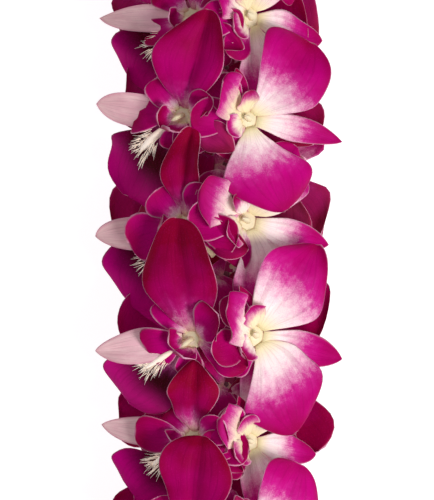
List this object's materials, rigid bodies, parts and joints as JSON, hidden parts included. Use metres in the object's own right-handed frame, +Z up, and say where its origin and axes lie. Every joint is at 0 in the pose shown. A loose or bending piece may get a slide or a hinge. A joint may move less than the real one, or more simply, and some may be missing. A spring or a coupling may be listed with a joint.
{
  "type": "flower lei",
  "caption": "Fresh flower lei: a closed loop of magenta orchid blooms threaded through their stalks, laid flat on a surface, open in the middle.",
  "frame": {"origin": "middle of the loop's bounds, on the surface the lei lies on", "axes": "+Y along the loop's longest way, +Z up out of the surface, +X across the loop"},
  "size_m": [0.2918, 0.4423, 0.0511],
  "materials": {
    "petals": "velvety",
    "thread": "matt"
  },
  "bodies": {
    "root": {"blooms_upper_01": "petals", "blooms_lower_01": "petals", "blooms_upper_02": "petals", "blooms_lower_02": "petals", "blooms_upper_03": "petals", "blooms_lower_03": "petals", "blooms_upper_04": "petals", "blooms_lower_04": "petals", "blooms_upper_05": "petals", "blooms_lower_05": "petals", "blooms_upper_06": "petals", "blooms_lower_06": "petals", "blooms_upper_07": "petals", "blooms_lower_07": "petals", "blooms_upper_08": "petals", "blooms_lower_08": "petals", "blooms_upper_09": "petals", "blooms_lower_09": "petals", "blooms_upper_10": "petals", "blooms_lower_10": "petals", "blooms_upper_11": "petals", "blooms_lower_11": "petals", "blooms_upper_12": "petals", "blooms_lower_12": "petals", "blooms_upper_13": "petals", "blooms_lower_13": "petals", "blooms_upper_14": "petals", "blooms_lower_14": "petals", "blooms_upper_15": "petals", "blooms_lower_15": "petals", "blooms_upper_16": "petals", "blooms_lower_16": "petals", "blooms_upper_17": "petals", "blooms_lower_17": "petals", "blooms_upper_18": "petals", "blooms_lower_18": "petals", "blooms_upper_19": "petals", "blooms_lower_19": "petals", "blooms_upper_20": "petals", "blooms_lower_20": "petals", "blooms_upper_21": "petals", "blooms_lower_21": "petals", "blooms_upper_22": "petals", "blooms_lower_22": "petals", "blooms_upper_23": "petals", "blooms_lower_23": "petals", "blooms_upper_24": "petals", "blooms_lower_24": "petals", "blooms_upper_25": "petals", "blooms_lower_25": "petals", "blooms_upper_26": "petals", "blooms_lower_26": "petals", "blooms_upper_27": "petals", "blooms_lower_27": "petals", "blooms_upper_28": "petals", "blooms_lower_28": "petals", "thread": "thread"}
  },
  "joints": []
}
